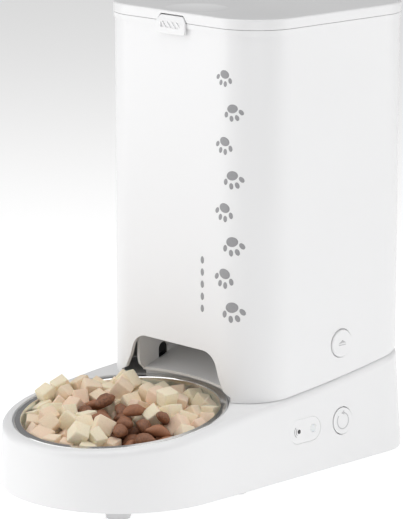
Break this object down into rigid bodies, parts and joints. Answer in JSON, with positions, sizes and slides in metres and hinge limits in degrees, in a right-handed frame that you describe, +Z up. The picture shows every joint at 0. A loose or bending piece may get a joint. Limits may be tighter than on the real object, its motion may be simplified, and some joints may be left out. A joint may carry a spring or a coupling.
{
  "type": "automatic pet feeder",
  "caption": "Automatic pet feeder: a rounded square hopper tower with a latched lid stands on a long base whose round front holds a steel bowl under a chute.",
  "frame": {"origin": "centre of the overall footprint, on the ground under the feet", "axes": "+Z up; -Y towards the bowl end; +X to the side that carries the feed button"},
  "size_m": [0.17, 0.297, 0.324],
  "materials": {
    "shell_white": "satin white moulded plastic",
    "lid_white": "satin white moulded plastic",
    "button_white": "satin white plastic",
    "panel_white": "gloss white window",
    "light_lens": "translucent white lens",
    "inner_grey": "light grey moulded plastic",
    "inner_clear": "pale grey food-safe plastic",
    "gear_plastic": "natural white acetal",
    "dark_plastic": "black plastic",
    "sensor_dark": "black infra-red window",
    "soft_vane": "soft moulded silicone",
    "seal_rubber": "grey silicone",
    "foot_rubber": "grey rubber",
    "screw_steel": "zinc-plated steel",
    "motor_steel": "drawn steel can",
    "cell_metal": "printed metal jacket, plain",
    "bowl_steel": "polished stainless steel",
    "board_green": "solder mask on glass fibre",
    "desiccant_cloth": "white non-woven sachet"
  },
  "bodies": {
    "base": {"base_shell": "shell_white", "bottom_cover": "shell_white", "cover_screws": "screw_steel", "feet": "foot_rubber", "battery_tray": "inner_grey", "battery_cells": "cell_metal", "chute": "shell_white", "gearbox": "inner_grey", "motor": "motor_steel", "main_board": "board_green", "feed_switch": "dark_plastic", "indicator_panel": "panel_white", "indicator_light": "light_lens", "power_jack": "dark_plastic", "catch_post": "inner_grey", "drop_sensor_left": "sensor_dark", "drop_sensor_right": "sensor_dark"},
    "battery_hatch": {"battery_door": "shell_white"},
    "feed_key": {"feed_button": "button_white"},
    "drive": {"drive_pinion": "gear_plastic", "drive_shaft": "screw_steel"},
    "bowl": {"bowl": "bowl_steel"},
    "tower": {"hopper_casing": "shell_white", "food_bin": "inner_clear", "metering_drum": "inner_grey", "hopper_floor": "inner_grey", "gear_cover": "inner_grey", "hinge_pin": "screw_steel"},
    "rotor": {"rotor_hub": "gear_plastic", "rotor_vanes": "soft_vane", "rotor_shaft": "screw_steel", "rotor_wheel": "gear_plastic"},
    "release_key": {"release_button": "button_white"},
    "lid": {"lid": "lid_white", "lid_liner": "inner_grey", "lid_seal": "seal_rubber", "desiccant_case": "inner_grey", "desiccant_pack": "desiccant_cloth", "latch_pin": "screw_steel"},
    "latch": {"latch": "button_white"},
    "sachet_cap": {"desiccant_cap": "inner_grey"}
  },
  "joints": [
    {"name": "tower_lift", "type": "slide", "parent": "base", "child": "tower", "axis": [0, 0, 1], "range_m": [0, 0.1]},
    {"name": "lid_hinge", "type": "hinge", "parent": "tower", "child": "lid", "pos_m": [0, 0.146, 0.321], "axis": [-1, 0, 0], "range_deg": [0, 100]},
    {"name": "latch_pull", "type": "hinge", "parent": "lid", "child": "latch", "pos_m": [0, -0.0137, 0.3191], "axis": [-1, 0, 0], "range_deg": [0, 22], "stiffness_Nm_per_rad": 0.02},
    {"name": "sachet_cap_turn", "type": "hinge", "parent": "lid", "child": "sachet_cap", "pos_m": [0, 0.0664, 0.292], "axis": [0, 0, 1], "range_deg": [0, 45]},
    {"name": "rotor_spin", "type": "hinge", "parent": "tower", "child": "rotor", "pos_m": [0, 0.078, 0.11965], "axis": [1, 0, 0], "continuous": true},
    {"name": "drive_spin", "type": "hinge", "parent": "base", "child": "drive", "pos_m": [-0.0405, 0.078, 0.084], "axis": [1, 0, 0], "continuous": true},
    {"name": "release_press", "type": "slide", "parent": "tower", "child": "release_key", "axis": [-1, 0, 0], "range_m": [0, 0.0015], "stiffness_N_per_m": 400},
    {"name": "feed_press", "type": "slide", "parent": "base", "child": "feed_key", "axis": [-1, 0, 0], "range_m": [0, 0.0004], "stiffness_N_per_m": 600},
    {"name": "bowl_tip", "type": "hinge", "parent": "base", "child": "bowl", "pos_m": [0, 0.00817, 0.05915], "axis": [-1, 0, 0], "range_deg": [0, 9]},
    {"name": "hatch_off", "type": "slide", "parent": "base", "child": "battery_hatch", "axis": [0, 0, -1], "range_m": [0, 0.03]}
  ],
  "couplings": [
    {"joint": "drive_spin", "follows": "rotor_spin", "ratio": -1.75}
  ]
}
